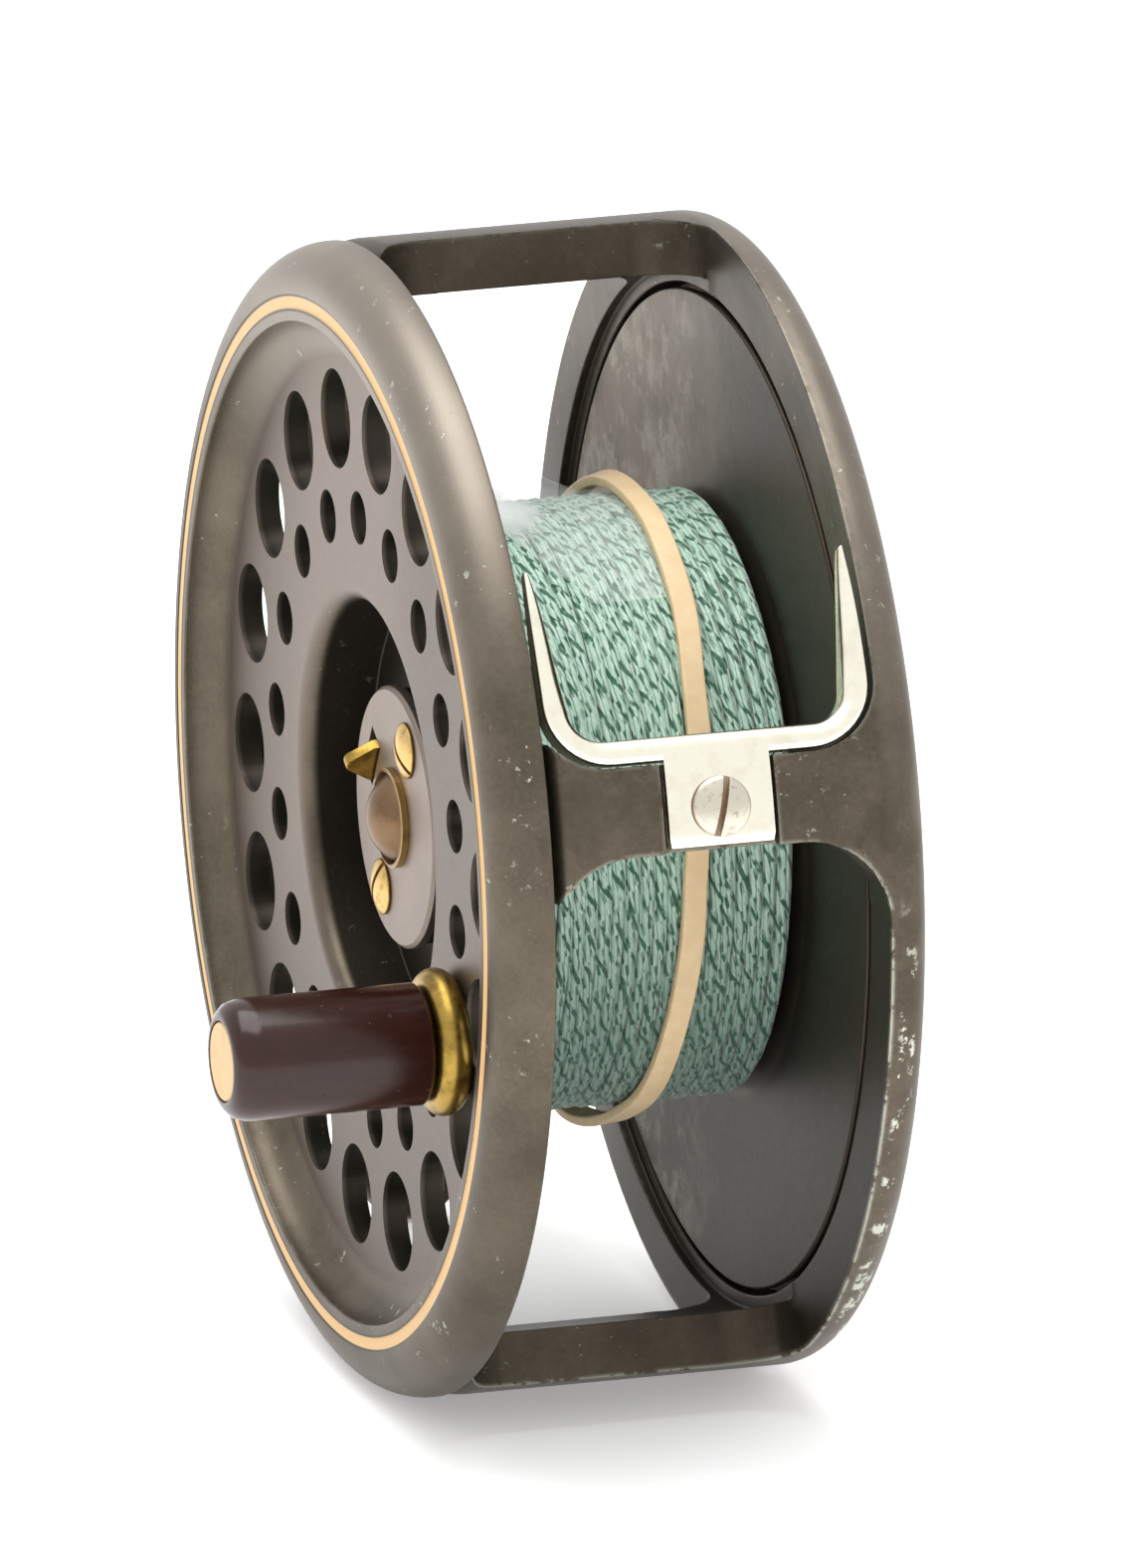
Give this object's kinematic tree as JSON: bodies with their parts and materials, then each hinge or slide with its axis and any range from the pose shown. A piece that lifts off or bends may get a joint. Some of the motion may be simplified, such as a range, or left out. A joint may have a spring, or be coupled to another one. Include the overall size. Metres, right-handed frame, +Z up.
{
  "type": "fly reel",
  "caption": "Single-action fly fishing reel: caged frame with foot and line guard, perforated exposed-rim spool wound with braided line, brown handle.",
  "frame": {"origin": "centre of the bounding box at the surface the reel stands on", "axes": "+X along the spindle from the handle side to the back plate; +Y from the line guard towards the rod foot; +Z up"},
  "size_m": [0.057, 0.103, 0.0922],
  "materials": {
    "painted_alloy": "satin bronze-brown finish over aluminium alloy, worn through to bare metal on the edges",
    "steel": "turned steel",
    "spring_steel": "blued spring strip",
    "bronze": "oil-impregnated bronze",
    "brass": "polished brass, lightly tarnished",
    "nickel_silver": "polished nickel silver with a faint yellow tone",
    "brown_resin": "glossy dark maroon-brown turned resin",
    "bronze_cap": "satin bronze-brown",
    "braided_line": "pale mint braid with dark green flecks, slightly waxy",
    "band_rubber": "tan rubber band, matt",
    "clear_film": "translucent film"
  },
  "bodies": {
    "frame": {"frame_cage": "painted_alloy", "spindle": "steel", "spindle_nut": "steel", "reel_foot": "painted_alloy", "foot_screw_1": "brass", "foot_screw_2": "brass", "line_guard": "nickel_silver", "line_guard_screw": "nickel_silver", "pawl_post_1": "steel", "pawl_post_2": "steel"},
    "pawl_1": {"check_pawl_1": "steel"},
    "pawl_2": {"check_pawl_2": "steel"},
    "adjuster": {"adjuster_cam_shaft": "steel", "adjuster_knob": "painted_alloy", "knob_screw": "steel"},
    "regulator": {"regulator_slide": "brass", "check_spring_1": "spring_steel", "check_spring_2": "spring_steel"},
    "spool_carrier": {"thrust_washer": "steel"},
    "spool": {"spool_face": "painted_alloy", "spool_arbor": "painted_alloy", "spool_rear_flange": "painted_alloy", "front_bush": "bronze", "rear_bush": "bronze", "check_gear": "brass", "gear_screw_1": "steel", "gear_screw_2": "steel", "gear_screw_3": "steel", "latch_cover": "painted_alloy", "latch_cover_screw_1": "brass", "latch_cover_screw_2": "brass", "spindle_cap": "bronze_cap", "latch_spring": "spring_steel", "handle_collar": "brass", "handle_pin": "brass", "fly_line": "braided_line", "rubber_band": "band_rubber", "line_tape": "clear_film"},
    "latch": {"latch_lever": "brass"},
    "handle": {"handle_grip": "brown_resin"}
  },
  "joints": [
    {"name": "spool_removal", "type": "slide", "parent": "frame", "child": "spool_carrier", "axis": [-1, 0, 0], "range_m": [0, 0.034]},
    {"name": "spool_spin", "type": "hinge", "parent": "spool_carrier", "child": "spool", "pos_m": [0.00588, -0.00544, 0.0461], "axis": [1, 0, 0], "continuous": true},
    {"name": "handle_spin", "type": "hinge", "parent": "spool", "child": "handle", "pos_m": [-0.02013, -0.02946, 0.0349], "axis": [1, 0, 0], "continuous": true},
    {"name": "latch_release", "type": "slide", "parent": "spool", "child": "latch", "axis": [0, 0.866, 0.5], "range_m": [0, 0.001], "stiffness_N_per_m": 300, "springref_m": -0.0005},
    {"name": "pawl_1_lift", "type": "hinge", "parent": "frame", "child": "pawl_1", "pos_m": [0.02138, -0.01603, 0.05529], "axis": [-1, 0, 0], "range_deg": [0, 6], "stiffness_Nm_per_rad": 0.03, "springref_deg": -2.86},
    {"name": "pawl_2_lift", "type": "hinge", "parent": "frame", "child": "pawl_2", "pos_m": [0.02138, 0.00841, 0.04828], "axis": [1, 0, 0], "range_deg": [0, 6], "stiffness_Nm_per_rad": 0.03, "springref_deg": -2.86},
    {"name": "adjuster_turn", "type": "hinge", "parent": "frame", "child": "adjuster", "pos_m": [0.02347, -0.01123, 0.02591], "axis": [1, 0, 0], "range_deg": [0, 150]},
    {"name": "regulator_travel", "type": "slide", "parent": "frame", "child": "regulator", "axis": [0, 0.2756, 0.9613], "range_m": [0, 0.0015]}
  ],
  "couplings": [
    {"joint": "adjuster_turn", "follows": "regulator_travel", "rad_per_m": 1745.3}
  ]
}
